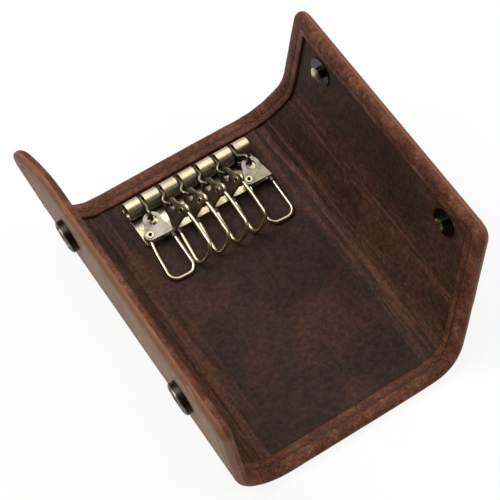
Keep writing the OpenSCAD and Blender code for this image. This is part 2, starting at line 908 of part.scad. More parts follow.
// Crimped sleeve on the loop's free leg, just below the catch corner
module loop_crimp(i) {
    top = [-leg_top_u, -free_v, loop_n];
    leg = [-loop_w / 2, -corner_at, loop_n] - top;
    way = leg / norm(leg);
    from = top + way * 1.4;
    color(dark_metal)
    clip_frame(i)
    difference() {
        wire(from, from + way * crimp_len, 2 * crimp_r);
        wire(from - way, from + way * (crimp_len + 1), loop_wire + 0.04);
    }
}

module link_1() { link(0); }
module link_2() { link(1); }
module link_3() { link(2); }
module link_4() { link(3); }
module link_5() { link(4); }
module link_6() { link(5); }

centre_cover();
centre_board();
centre_lining();
centre_stitching();
left_spine_cover();
left_spine_lining();
left_spine_stitching();
left_flap_cover();
left_flap_board();
left_flap_lining();
left_flap_stitching();
right_spine_cover();
right_spine_lining();
right_spine_stitching();
right_flap_cover();
right_flap_board();
right_flap_lining();
right_flap_stitching();
snap_sockets();
socket_springs();
socket_backs();
snap_studs();
stud_caps();
key_rail();
rail_rod();
rail_rivets();
link_1();
link_2();
link_3();
link_4();
link_5();
link_6();
clip_plate(0);  // clip_plate_1
clip_plate(1);  // clip_plate_2
clip_plate(2);  // clip_plate_3
clip_plate(3);  // clip_plate_4
clip_plate(4);  // clip_plate_5
clip_plate(5);  // clip_plate_6
clip_eyelet(0);  // clip_eyelet_1
clip_eyelet(1);  // clip_eyelet_2
clip_eyelet(2);  // clip_eyelet_3
clip_eyelet(3);  // clip_eyelet_4
clip_eyelet(4);  // clip_eyelet_5
clip_eyelet(5);  // clip_eyelet_6
key_loop(0);  // key_loop_1
key_loop(1);  // key_loop_2
key_loop(2);  // key_loop_3
key_loop(3);  // key_loop_4
key_loop(4);  // key_loop_5
key_loop(5);  // key_loop_6
loop_crimp(0);  // loop_crimp_1
loop_crimp(1);  // loop_crimp_2
loop_crimp(2);  // loop_crimp_3
loop_crimp(3);  // loop_crimp_4
loop_crimp(4);  // loop_crimp_5
loop_crimp(5);  // loop_crimp_6
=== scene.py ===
import math

import bmesh
import bpy
import numpy as np
from mathutils import Euler, Matrix, Vector


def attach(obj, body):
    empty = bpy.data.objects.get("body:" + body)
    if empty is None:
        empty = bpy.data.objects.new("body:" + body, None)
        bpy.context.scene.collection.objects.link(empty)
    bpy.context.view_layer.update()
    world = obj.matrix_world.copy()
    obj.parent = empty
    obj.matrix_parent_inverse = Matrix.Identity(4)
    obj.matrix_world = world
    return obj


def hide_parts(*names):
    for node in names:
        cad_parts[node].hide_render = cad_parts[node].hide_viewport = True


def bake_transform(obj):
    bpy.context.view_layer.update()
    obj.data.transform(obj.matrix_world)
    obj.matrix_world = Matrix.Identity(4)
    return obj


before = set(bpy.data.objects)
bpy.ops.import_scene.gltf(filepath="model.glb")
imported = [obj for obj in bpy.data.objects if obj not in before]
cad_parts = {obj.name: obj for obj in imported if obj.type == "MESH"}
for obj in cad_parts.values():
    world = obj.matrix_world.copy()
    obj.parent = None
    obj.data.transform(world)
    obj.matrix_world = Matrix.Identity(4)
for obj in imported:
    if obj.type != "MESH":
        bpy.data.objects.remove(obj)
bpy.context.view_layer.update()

bl_info = {
    "name": "Leather key case",
    "version": (1, 0, 0),
    "blender": (4, 5, 0),
    "location": "View3D > Sidebar > Key Case",
    "description": "Dresses a folding key case with leather, stitches and antique brass fittings",
    "category": "Add Mesh",
}

MM = 0.001
MERGED = 2e-6  # points closer than this, in metres, become one
SOFT_UP_TO = math.radians(48)  # sharpest edge that is still shaded smooth, on leather and wire
METAL_SOFT_UP_TO = math.radians(35)  # and on stamped metal
COPLANAR = math.radians(0.6)
WIRE_SIDES, CAP_RINGS = 14, 4  # corners of a wire's section, rings of its rounded end


# ---------- settings ----------

def number(name, description, default, **more):
    return bpy.props.FloatProperty(name=name, description=description, default=default, **more)


def length(name, description, default):
    return number(name, description, default, min=0.0, precision=5, unit="LENGTH",
                  subtype="DISTANCE")


def colour(name, description, default):
    return bpy.props.FloatVectorProperty(
        name=name, description=description, default=default, size=3, min=0.0, max=1.0,
        subtype="COLOR")


class LeatherSettings(bpy.types.PropertyGroup):
    """Sizes and colours of the leather and its thread."""
    rim_width: length("Turned-in edge", "Width of the edge folded over the lining", 0.007)
    corner_reach: length("Corner reach", "How far a rounded corner runs along each side", 0.0050)
    left_bend: length("Left bend", "Half the length of each bend on the left", 0.0058)
    right_bend: length("Right bend", "Half the length of each bend on the right", 0.0075)
    far_curl: length("Far curl", "How far the left flap's far corner curls outwards", 0.0026)
    stitch_inset: length("Stitch inset", "Distance of the stitches from the edge", 0.0042)
    stitch_pitch: length("Stitch pitch", "Distance from one stitch to the next", 0.0033)
    stitch_length: length("Stitch length", "Length of one stitch", 0.0023)
    stitch_width: length("Stitch width", "Width of the thread", 0.00075)
    lining_colour: colour("Lining", "Main colour of the lining", (0.028, 0.0175, 0.0120))
    olive_colour: colour("Worn lining", "Olive tone on the stud flap", (0.038, 0.0245, 0.0150))
    streak_colour: colour("Streaks", "Reddish streaks along the folds", (0.115, 0.048, 0.028))
    rim_colour: colour("Edge", "Colour of the turned-in edge", (0.165, 0.056, 0.028))
    rim_worn_colour: colour("Worn edge", "Colour where the edge is rubbed", (0.21, 0.100, 0.060))
    outer_colour: colour("Outer leather", "Colour of the outer face", (0.27, 0.160, 0.085))
    outer_dark_colour: colour("Outer shade", "Dark patches of the outer face", (0.185, 0.098, 0.052))
    thread_colour: colour("Thread", "Colour of the thread", (0.012, 0.008, 0.006))


class MetalSettings(bpy.types.PropertyGroup):
    """Sizes and colours of the metal fittings."""
    edge_round: length("Edge rounding", "Rounding of the stamped edges", 0.00012)
    link_wire: length("Link wire", "Diameter of the links' wire", 0.0014)
    loop_wire: length("Loop wire", "Diameter of the key loops' wire", 0.0013)
    brass_colour: colour("Brass", "Polished antique brass", (0.58, 0.49, 0.33))
    # the colour of the patina patches, and also of the painted shade in the metal's hollows
    patina_and_shade_colour: colour("Patina", "Dark film in the recesses", (0.085, 0.070, 0.048))
    grey_colour: colour("Worn plating", "Grey brass of the outer hook plates", (0.28, 0.25, 0.205))
    dark_colour: colour("Dark brass", "Darkened buttons and sleeves", (0.10, 0.09, 0.075))
    steel_colour: colour("Steel", "Rod and springs", (0.42, 0.41, 0.39))


class StageSettings(bpy.types.PropertyGroup):
    """Camera, floor and light."""
    lens: number("Lens", "Focal length on a 36 mm sensor", 136.94, unit="CAMERA")
    camera_place: bpy.props.FloatVectorProperty(
        name="Camera place", description="Where the camera stands", size=3, subtype="TRANSLATION",
        unit="LENGTH", default=(-0.149055, -0.253464, 0.536333))
    camera_turn: bpy.props.FloatVectorProperty(
        name="Camera turn", description="The camera's rotation", size=3, subtype="EULER", unit="ROTATION",
        default=(math.radians(29.87606), math.radians(1.75613), math.radians(-32.83167)))
    floor_colour: colour("Floor", "Colour of the table", (0.86, 0.86, 0.86))
    key_power: number("Key light", "Power of the large lamp", 5.5, min=0.0, unit="POWER")
    fill_power: number("Fill light", "Power of the second lamp", 2.0, min=0.0, unit="POWER")
    band_way: bpy.props.FloatVectorProperty(
        name="Bright way", description="Where the surroundings are bright, as seen by metal", size=3,
        subtype="DIRECTION", default=(0.35, 0.55, 0.75))
    band_low: number("Dark up to", "Closeness to the bright side where it is still dark", 0.62)
    band_high: number("Bright from", "Closeness to the bright side where it is fully bright", 0.9)
    band_strength: number("Bright side", "Strength of the bright side", 1.9, min=0.0)
    room_strength: number("Dark side", "Strength of the dark side", 0.05, min=0.0)
    sky_strength: number("Surround", "Strength of the even light from all round", 0.45, min=0.0)


# ---------- meshes from arrays ----------

def unit(vectors):
    return vectors / np.linalg.norm(vectors, axis=-1, keepdims=True)


def grid_faces(rows, cols, wrap=False):
    """Quads of a grid of rows x cols points; with wrap the last column joins the first."""
    r = np.arange(rows - 1)[:, None]
    c = np.arange(cols if wrap else cols - 1)[None, :]
    right = (c + 1) % cols
    quads = np.stack([r * cols + c, r * cols + right, (r + 1) * cols + right, (r + 1) * cols + c], -1)
    return quads.reshape(-1, 4)


def show(name, data):
    """A new object in the scene."""
    piece = bpy.data.objects.new(name, data)
    bpy.context.scene.collection.objects.link(piece)
    return piece


def show_smooth(name, mesh, sharp):
    """A new object, shaded smooth over edges up to the angle sharp."""
    mesh.polygons.foreach_set("use_smooth", np.ones(len(mesh.polygons), bool))
    mesh.set_sharp_from_angle(angle=sharp)
    mesh.update()
    return show(name, mesh)


def make_piece(name, parts, materials, attributes=()):
    """One closed mesh from several grids. parts is a list of (points in mm, faces, material slot,
    {attribute: values}); doubles are merged and the normals turned outwards."""
    points = np.concatenate([p[0].reshape(-1, 3) for p in parts]) * MM
    starts = np.cumsum([0] + [p[0].reshape(-1, 3).shape[0] for p in parts])
    faces = [f + s for (_, f, _, _), s in zip(parts, starts)]
    slots = np.concatenate([np.full(len(p[1]), p[2], np.int32) for p in parts])
    mesh = bpy.data.meshes.new(name)
    mesh.from_pydata(points.tolist(), [], [row for f in faces for row in f.tolist()])
    for m in materials:
        mesh.materials.append(m)
    mesh.polygons.foreach_set("material_index", slots)
    for key in attributes:
        layer = mesh.attributes.new(key, "FLOAT", "POINT")
        values = np.concatenate([np.broadcast_to(p[3][key], p[0].shape[:-1]).ravel() for p in parts])
        layer.data.foreach_set("value", values.astype(np.float32))
    work = bmesh.new()
    work.from_mesh(mesh)
    bmesh.ops.remove_doubles(work, verts=work.verts, dist=MERGED)
    bmesh.ops.dissolve_degenerate(work, edges=work.edges, dist=1e-7)
    bmesh.ops.recalc_face_normals(work, faces=work.faces)
    work.to_mesh(mesh)
    work.free()
    return show_smooth(name, mesh, SOFT_UP_TO)


def tube(path, radius, across, closed=False):
    """Round wire: at each point of the path a circle of the radius stands square to the path, its first
    point towards across. Open ends close with a quarter-round cap of rings that shrink to a pole."""
    path = np.asarray(path, float)
    across = np.broadcast_to(np.asarray(across, float), path.shape)
    radius = np.broadcast_to(np.asarray(radius, float), path.shape[:1])
    if not closed:
        turn = np.linspace(0, np.pi / 2, CAP_RINGS + 1)[1:]
        head = path[0] + unit(path[0] - path[1]) * (radius[0] * np.sin(turn[::-1]))[:, None]
        tail = path[-1] + unit(path[-1] - path[-2]) * (radius[-1] * np.sin(turn))[:, None]
        path = np.concatenate([head, path, tail])
        across = np.concatenate([across[:1].repeat(CAP_RINGS, 0), across,
                                 across[-1:].repeat(CAP_RINGS, 0)])
        radius = np.concatenate([radius[0] * np.cos(turn[::-1]), radius, radius[-1] * np.cos(turn)])
        tangent = np.gradient(path, axis=0)
    else:
        tangent = np.roll(path, -1, 0) - np.roll(path, 1, 0)
    tangent = unit(tangent)
    a = unit(across - (across * tangent).sum(1)[:, None] * tangent)
    b = np.cross(tangent, a)
    angle = np.arange(WIRE_SIDES) * 2 * np.pi / WIRE_SIDES
    ring = a[:, None] * np.cos(angle)[None, :, None] + b[:, None] * np.sin(angle)[None, :, None]
    points = path[:, None] + radius[:, None, None] * ring
    if closed:
        points = np.concatenate([points, points[:1]])
    return points, grid_faces(points.shape[0], WIRE_SIDES, wrap=True)


def place(piece, body, node, slot):
    """Hangs a piece under the empty of the body that moves it and hides the CAD node it stands for; slot,
    what it is made of, is not used.
    """
    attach(piece, body)
    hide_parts(node)


def wire_piece(name, wires, material, body, node, slot):
    """One mesh of the wires that tube makes."""
    place(make_piece(name, [(*wire, 0, {}) for wire in wires], [material]), body, node, slot)


def dressed_copy(node, name, material, body, slot, bevel):
    """A merged copy of a CAD node with softly rounded edges, for a stamped or turned metal piece."""
    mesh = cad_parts[node].data.copy()
    mesh.name = name
    work = bmesh.new()
    work.from_mesh(mesh)
    bmesh.ops.remove_doubles(work, verts=work.verts, dist=MERGED)
    bmesh.ops.dissolve_limit(work, angle_limit=COPLANAR, verts=work.verts, edges=work.edges)
    work.to_mesh(mesh)
    work.free()
    mesh.materials.clear()
    mesh.materials.append(material)
    piece = show_smooth(name, mesh, METAL_SOFT_UP_TO)
    if bevel > 0:
        round_edges = piece.modifiers.new("round_edges", "BEVEL")
        round_edges.width = bevel
        round_edges.segments = 2
        round_edges.limit_method = "ANGLE"
        round_edges.angle_limit = METAL_SOFT_UP_TO
        round_edges.harden_normals = True
        round_edges.use_clamp_overlap = True
    place(piece, body, node, slot)


# ---------- materials ----------
# The scales and thresholds of the patterns were chosen against the photo.

RIM = 7.0  # width in mm that the edge's profile and its colours are drawn for
STITCH_LINE = 4.2  # where the stitch line dips in it, in mm from the edge
BLACKENED = (0.030, 0.028, 0.026)  # colour of the buttons' blackened parts


class Nodes:
    """Short hand for building the node tree of a world or material. Inputs are given by name or number,
    each a socket to link or a value to fill in."""

    def __init__(self, owner):
        owner.use_nodes = True
        self.tree = owner.node_tree
        self.tree.nodes.clear()

    def link(self, source, target):
        if hasattr(source, "is_output"):
            self.tree.links.new(source, target)
        else:
            target.default_value = source

    def new(self, kind, inputs=None, **settings):
        node = self.tree.nodes.new("ShaderNode" + kind)
        for key, value in settings.items():
            setattr(node, key, value)
        for key, value in (inputs or {}).items():
            self.link(value, node.inputs[key])
        return node

    def ahead(self, vector, way):
        """Distance along a unit direction, a dot product."""
        return self.new("VectorMath", {0: vector, 1: way}, operation="DOT_PRODUCT").outputs["Value"]

    def either(self, factor, a, b):
        return self.new("MixShader", {0: factor, 1: a.outputs[0], 2: b.outputs[0]})


class Surface(Nodes):
    """A material with one main shader, and patterns by Object coordinates."""

    def __init__(self, name):
        self.material = bpy.data.materials.new(name)
        super().__init__(self.material)
        self.shader = self.new("BsdfPrincipled")
        self.output = self.new("OutputMaterial", {0: self.shader.outputs[0]})
        self.place = self.new("TexCoord").outputs["Object"]

    def scaled(self, scale, turn=(0.0, 0.0, 0.0)):
        return self.new("Mapping", {"Vector": self.place, "Scale": scale, "Rotation": turn}).outputs[0]

    def noise(self, vector, scale, detail=4.0, roughness=0.55, distortion=0.0):
        return self.new("TexNoise", {"Vector": vector, "Scale": scale, "Detail": detail,
                                     "Roughness": roughness, "Distortion": distortion}).outputs["Fac"]

    def attribute(self, key):
        return self.new("Attribute", attribute_type="GEOMETRY", attribute_name=key).outputs["Fac"]

    def ramp(self, value, low, high):
        """0 below low, 1 above high."""
        return self.new("MapRange", {"Value": value, "From Min": low, "From Max": high},
                        interpolation_type="SMOOTHSTEP").outputs["Result"]

    def fall(self, value, low, high):
        """1 below low, 0 above high."""
        return self.math("SUBTRACT", 1.0, self.ramp(value, low, high))

    def math(self, kind, a, b=0.0):
        return self.new("Math", {0: a, 1: b}, operation=kind).outputs[0]

    def mix(self, factor, a, b, kind="MIX"):
        a, b = (c if hasattr(c, "is_output") else (*c, 1.0) for c in (a, b))
        return self.new("Mix", {"Factor": factor, "A": a, "B": b},
                        data_type="RGBA", blend_type=kind).outputs["Result"]

    def over(self, base, mask, share, colour):
        """The colour laid over the base by a share of the mask."""
        return self.mix(self.math("MULTIPLY", mask, share), base, colour)

    def tinted(self, base, tint):
        return self.mix(1.0, base, tint, "MULTIPLY")

    def bump(self, height, strength, distance, **under):
        return self.new("Bump", {"Strength": strength, "Distance": distance, "Height": height,
                                 **under}).outputs["Normal"]


def times(colour, share):
    """A lighter or darker version of a colour."""
    return tuple(min(1.0, share * c) for c in colour)


def fold_streaks(n):
    """Long thin streaks along the folds."""
    return n.noise(n.scaled((520.0, 26.0, 520.0)), 1.0, 5.0, 0.62, 0.25)


def mottled(n, base, pattern, low, high, dark, light):
    """Tints the base dark where the pattern is low and light where it is high."""
    return n.mix(n.ramp(pattern, low, high), n.tinted(base, dark), n.tinted(base, light))


def stitch_groove(n, gap, far):
    """1 in the stitch line, 0 from far mm beside it."""
    return n.fall(n.math("ABSOLUTE", n.math("SUBTRACT", gap, STITCH_LINE)), 0.15, far)


def leather_bump(n, grain, fold, streaks):
    """Fine pores, small wrinkles and, near folds, creases along the fold."""
    pores = n.new("TexVoronoi", {"Vector": n.place, "Scale": 1500.0}).outputs["Distance"]
    skin = n.noise(n.place, 900.0, 5.0, 0.65)
    height = n.math("ADD", n.math("MULTIPLY", pores, 0.5), skin)
    grained = n.bump(height, 0.35 * grain, 0.00025)
    return n.bump(n.math("MULTIPLY", streaks, fold), 0.8, 0.0006, Normal=grained)


def leather_shader(n, base, patches, rough, rougher, specular, normal):
    """Fills the shader; the leather is duller by a share, rougher, where the patches are high."""
    n.link(base, n.shader.inputs["Base Color"])
    n.link(n.math("ADD", rough, n.math("MULTIPLY", patches, rougher)), n.shader.inputs["Roughness"])
    n.shader.inputs["Specular IOR Level"].default_value = specular
    n.link(normal, n.shader.inputs["Normal"])
    return n.material


def lining_material(s):
    """Dark brown lining: cloudy patches, reddish creases along the folds, thin pale scratches."""
    n = Surface("lining leather")
    fold = n.attribute("fold")
    tone = n.attribute("olive")
    clouds = n.noise(n.place, 38.0, 6.0, 0.6, 0.6)
    streaks = fold_streaks(n)
    base = n.mix(tone, s.lining_colour, s.olive_colour)
    base = n.mix(n.ramp(clouds, 0.40, 0.70), base, n.mix(0.40, base, s.streak_colour))
    dark = n.ramp(n.noise(n.place, 60.0, 5.0, 0.6), 0.52, 0.72)
    base = n.over(base, dark, 0.55, times(s.lining_colour, 0.45))
    reddish = n.math("MULTIPLY", n.ramp(streaks, 0.42, 0.62), fold)
    base = n.over(base, reddish, 0.9, s.streak_colour)
    scratches = n.noise(n.scaled((90.0, 320.0, 90.0), (0.0, 0.0, 0.7)), 1.0, 3.0, 0.5, 2.2)
    thin = n.fall(n.math("ABSOLUTE", n.math("SUBTRACT", scratches, 0.5)), 0.0, 0.012)
    rare = n.ramp(n.noise(n.place, 55.0, 2.0), 0.56, 0.66)
    base = n.over(base, n.math("MULTIPLY", thin, rare), 0.35, s.streak_colour)
    blots = n.noise(n.place, 620.0, 5.0, 0.7, 0.5)
    base = mottled(n, base, blots, 0.34, 0.68, (0.62, 0.58, 0.56), (1.30, 1.24, 1.20))
    speck = n.ramp(n.noise(n.place, 1700.0, 3.0, 0.7), 0.40, 0.72)
    base = n.over(base, speck, 0.30, n.tinted(base, (1.6, 1.5, 1.4)))
    return leather_shader(n, base, clouds, 0.52, 0.22, 0.10, leather_bump(n, 1.0, fold, streaks))


def edge_material(s):
    """Turned-in edge: reddish brown, rubbed lighter in patches, dark in the stitch line and at the cut."""
    n = Surface("turned edge leather")
    gap = n.attribute("edge_gap")
    fold = n.attribute("fold")
    patches = n.noise(n.place, 140.0, 6.0, 0.65, 0.4)
    blotches = n.noise(n.place, 420.0, 4.0, 0.6)
    base = n.mix(n.ramp(patches, 0.36, 0.66), times(s.rim_colour, 0.55), s.rim_colour)
    wear = n.math("ADD", n.math("MULTIPLY", patches, 0.6), n.math("MULTIPLY", blotches, 0.4))
    base = n.over(base, n.ramp(wear, 0.47, 0.68), 0.75, s.rim_worn_colour)
    blots = n.noise(n.place, 800.0, 5.0, 0.72, 0.6)
    base = mottled(n, base, blots, 0.36, 0.66, (0.55, 0.52, 0.52), (1.35, 1.25, 1.2))
    base = n.over(base, stitch_groove(n, gap, 0.75), 0.45, times(s.rim_colour, 0.25))
    base = n.over(base, n.ramp(gap, RIM - 0.65, RIM - 0.05), 0.8, times(s.rim_colour, 0.16))
    fibres = n.noise(n.scaled((900.0, 900.0, 900.0)), 1.0, 6.0, 0.7)
    base = n.over(base, n.ramp(fibres, 0.4, 0.7), 0.35, times(s.rim_colour, 0.4))
    wrinkles = n.noise(n.place, 620.0, 5.0, 0.66, 0.9)
    return leather_shader(n, base, patches, 0.48, 0.25, 0.15,
                          leather_bump(n, 1.8, n.math("ADD", 0.6, fold), wrinkles))


def outer_material(s):
    """Outer face: smooth waxed tan leather with darker clouds, a dark stitch line and scuffs."""
    n = Surface("outer leather")
    gap = n.attribute("edge_gap")
    fold = n.attribute("fold")
    clouds = n.noise(n.place, 42.0, 6.0, 0.58, 0.5)
    base = n.mix(n.ramp(clouds, 0.36, 0.62), s.outer_dark_colour, s.outer_colour)
    base = n.over(base, n.fall(gap, 0.2, 3.0), 0.75, s.rim_colour)
    base = n.over(base, stitch_groove(n, gap, 0.7), 0.4, times(s.outer_dark_colour, 0.4))
    scuffs = n.noise(n.scaled((260.0, 60.0, 260.0), (0.0, 0.0, 0.3)), 1.0, 4.0, 0.6, 1.6)
    base = n.over(base, n.ramp(scuffs, 0.60, 0.72), 0.4, times(s.outer_colour, 1.5))
    return leather_shader(n, base, clouds, 0.42, 0.25, 0.16, leather_bump(n, 0.8, fold, fold_streaks(n)))


def thread_material(s):
    """Waxed thread: twisted plies as fine slanted ridges."""
    n = Surface("waxed thread")
    plies = n.noise(n.scaled((2600.0, 2600.0, 2600.0)), 1.0, 2.0)
    base = n.mix(n.ramp(plies, 0.3, 0.7), s.thread_colour, times(s.thread_colour, 2.4))
    n.link(base, n.shader.inputs["Base Color"])
    n.shader.inputs["Roughness"].default_value = 0.55
    n.link(n.bump(plies, 0.6, 0.0002), n.shader.inputs["Normal"])
    return n.material


def metal_material(name, s, bright, patina, rough, brushed=(1.0, 1.0, 1.0), black=None, film=1.0):
    """Antiqued metal: bright where it is rubbed, a dark patina film in patches, painted shade in the
    hollows from ambient occlusion in a darker patina colour, fine brush marks. film scales the colour of
    both the patina and the painted shade.
    black is (a point, a direction, from, to): the metal is blackened as far as from, in mm from the
    point along the direction, and bright again at to."""
    n = Surface(name)
    dark = times(s.patina_and_shade_colour, film)
    spots = n.noise(n.place, 260.0, 4.0, 0.6, 0.3)
    marks = n.noise(n.scaled(tuple(3600.0 * b for b in brushed)), 1.0, 3.0, 0.6)
    fine = n.noise(n.place, 2400.0, 3.0, 0.6)
    amount = n.math("MULTIPLY", n.ramp(spots, 0.40, 0.72), patina)
    base = n.mix(amount, bright, dark)
    # painted shade: ambient occlusion finds the hollows, and there the colour is darkened towards the
    # patina colour
    hollow = n.new("AmbientOcclusion", {"Distance": 0.0016}, samples=4, only_local=True).outputs["AO"]
    base = n.over(base, n.fall(hollow, 0.25, 0.85), 0.85, times(dark, 0.7))
    base = n.over(base, n.ramp(marks, 0.45, 0.72), 0.30, times(bright, 0.5))
    base = n.over(base, n.ramp(fine, 0.55, 0.75), 0.18, dark)
    if black is not None:
        foot, way = Vector(black[0]), Vector(black[1]).normalized()
        depth = n.math("SUBTRACT", n.ahead(n.place, way), foot.dot(way) * MM)
        base = n.mix(n.ramp(depth, black[2] * MM, black[3] * MM), BLACKENED, base)
    n.link(base, n.shader.inputs["Base Color"])
    n.shader.inputs["Metallic"].default_value = 1.0
    n.link(n.math("ADD", rough, n.math("MULTIPLY", n.math("ADD", amount, marks), 0.14)),
           n.shader.inputs["Roughness"])
    n.link(n.bump(n.math("ADD", marks, fine), 0.22, 0.00003), n.shader.inputs["Normal"])
    return n.material


# ---------- the leather, drawn flat and then folded ----------
# Flat coordinates in mm: s across from the middle of the centre panel (left negative), y along the folds,
# h above the lining's face. The folds turn the strip up at each crease of the CAD model.

HALF = 58.5  # half length of the case
BOARD = 3.0  # leather thickness, lining face to outer face
CREASE_L = (33.0, 46.0)  # creases on each side: at the centre panel, at the flap
CREASE_R = (33.0, 53.0)
TURN_L = (math.radians(40.0), math.radians(44.0))  # how far the leather turns up at each
TURN_R = (math.radians(65.0), math.radians(18.5))
EDGE_L, EDGE_R = 88.3, 92.52  # the flaps' free edges
LEFT_RISE, RIGHT_RISE = sum(TURN_L), sum(TURN_R)  # how steeply the flaps stand
SPINE_L, SPINE_R = CREASE_L[1] - CREASE_L[0], CREASE_R[1] - CREASE_R[0]  # widths of the spines
# where the left and the right flap's lining begin, above the table
SOCKET_FOOT = (-CREASE_L[0] - SPINE_L * math.cos(TURN_L[0]), 0, BOARD + SPINE_L * math.sin(TURN_L[0]))
STUD_FOOT = (CREASE_R[0] + SPINE_R * math.cos(TURN_R[0]), 0, BOARD + SPINE_R * math.sin(TURN_R[0]))
TAPERS = (7.0, 2.0)  # how much the right spine and the right flap draw in at each end
SEAM_L, SEAM_R = CREASE_L[0] + SPINE_L / 2, CREASE_R[0] + SPINE_R / 2  # where two pieces meet
CREASES = (-CREASE_L[0], -CREASE_L[1], CREASE_R[0], CREASE_R[1])
PATH_STEP, FACE_STEP = 0.8, 1.2  # spacing of the leather's points across and along the folds
PUCKER_START = 1.5  # how far from the edge the puckers are full
WAVE_SHARE = 0.35  # how much of the lining's waves the turned-in strip shows
NO_EDGE = 9.0  # edge_gap of the faces away from the edge
OLIVE_S, OLIVE_LEN = 40, 18  # where the right side's olive tone begins and grows
CURL_Y, CURL_Y_LEN, CURL_S, CURL_S_LEN = 38, 20, -50, 30  # where the far corner's curl begins and grows


def folded(s, y, h, leather):
    """Bends the flat strip: straight on each panel, and along an arc of radius reach / tan(half the turn)
    at each crease, so that the panels stay where the CAD panels are. Left is the mirror of right.
    The left flap's far corner curls outwards: h falls by far_curl times the square of how far y is into
    the curl, times how far s is."""
    s, y, h = np.broadcast_arrays(s, y, h)
    curl = np.clip((y - CURL_Y) / CURL_Y_LEN, 0, 1) ** 2 * np.clip((CURL_S - s) / CURL_S_LEN, 0, 1)
    h = h - leather.far_curl / MM * curl
    x_out, z_out = np.zeros(s.shape), np.zeros(s.shape)
    for side, creases, turns, reach in ((1, CREASE_R, TURN_R, leather.right_bend / MM),
                                        (-1, CREASE_L, TURN_L, leather.left_bend / MM)):
        t = s * side
        x, z = t.copy(), h.astype(float).copy()
        corner = np.zeros(2)
        at, heading = 0.0, 0.0
        for crease, turn in zip(creases, turns):
            way = np.array([math.cos(heading), math.sin(heading)])
            up = np.array([-way[1], way[0]])
            corner = corner + (crease - at) * way
            radius = reach / math.tan(turn / 2)
            middle = corner - reach * way + radius * up
            angle = heading + np.clip((t - crease + reach) / (2 * reach), 0, 1) * turn
            on_arc = t > crease - reach
            x = np.where(on_arc, middle[0] + (radius - h) * np.sin(angle), x)
            z = np.where(on_arc, middle[1] - (radius - h) * np.cos(angle), z)
            heading += turn
            way = np.array([math.cos(heading), math.sin(heading)])
            after = t > crease + reach
            x = np.where(after, corner[0] + (t - crease) * way[0] - h * way[1], x)
            z = np.where(after, corner[1] + (t - crease) * way[1] + h * way[0], z)
            at = crease
        here = (s >= 0) if side > 0 else (s < 0)
        x_out = np.where(here, x * side, x_out)
        z_out = np.where(here, z, z_out)
    return np.stack([x_out, y + 0 * x_out, z_out + BOARD], -1)


def half_length(s):
    """Half length of the leather at s: full up to the right crease, then drawn in along two slopes. Each
    slope begins softly, as half of t plus the root of t squared and its bend's width squared."""
    def past(crease, width):
        t = s - crease
        return 0.5 * (t + np.sqrt(t * t + width * width))

    on_spine, on_flap = TAPERS[0] / SPINE_R, TAPERS[1] / (EDGE_R - CREASE_R[1])
    return HALF - past(CREASE_R[0], 6.0) * on_spine - past(CREASE_R[1], 4.0) * (on_flap - on_spine)


def lining_height(s, y):
    """Height of the lining over its plain face: soft waves, a hollow at each crease, and beside the
    centre panel's creases the raised edge of its stiff board. Hollows and edges are bell curves of s."""
    out = 0.10 * np.sin(s * 0.21 + 1.3) * np.sin(y * 0.13 + 0.4) + 0.07 * np.sin(s * 0.47 + y * 0.19)
    for c, ridge in ((-CREASE_L[0], -29.2), (CREASE_R[0], 29.4)):
        wander = c + 0.5 * np.sin(y * 0.09 + c)
        out = out - 0.75 * np.exp(-((s - wander) / 1.9) ** 2)
        out = out + 0.30 * np.exp(-((s - ridge) / 1.3) ** 2)
    for c in (-CREASE_L[1], CREASE_R[1]):
        out = out - 0.30 * np.exp(-((s - c) / 2.6) ** 2)
    return out


def fold_wear(s):
    """1 at a crease, fading to 0 on the panels: how creased and reddish the leather is."""
    near = [np.exp(-((s - c) / w) ** 2) for c, w in zip(CREASES, (6.0, 5.0, 6.5, 4.5))]
    spine = np.where((s < -CREASE_L[0]) & (s > -CREASE_L[1]), 0.75, 0.0)
    return np.clip(np.maximum.reduce(near + [spine]), 0, 1)


# The edge's cross-section as (distance from the edge, height): the cut end of the turned-in strip, its
# top with the stitch line, the rounded edge and the outer face.
EDGE_PROFILE = np.array([
    (7.0, -0.10), (6.97, 0.30), (6.85, 0.66), (6.6, 0.84), (6.1, 0.90), (5.2, 0.93), (4.65, 0.88),
    (4.35, 0.76), (4.2, 0.72), (4.05, 0.76), (3.75, 0.90), (3.1, 0.98), (2.2, 0.99), (1.4, 0.86),
    (0.75, 0.55), (0.28, 0.05), (0.04, -0.6), (0.0, -1.05),
    (0.0, -1.25), (0.06, -1.75), (0.3, -2.3), (0.75, -2.72), (1.4, -2.94), (2.2, -3.0), (3.1, -3.0),
    (3.75, -2.97), (4.05, -2.88), (4.2, -2.84), (4.35, -2.88), (4.65, -2.97), (5.2, -3.0), (6.1, -3.0),
    (6.6, -3.0), (6.85, -3.0), (6.97, -3.0), (7.0, -3.0)])
RIM_POINTS = 18  # profile points that belong to the turned-in strip


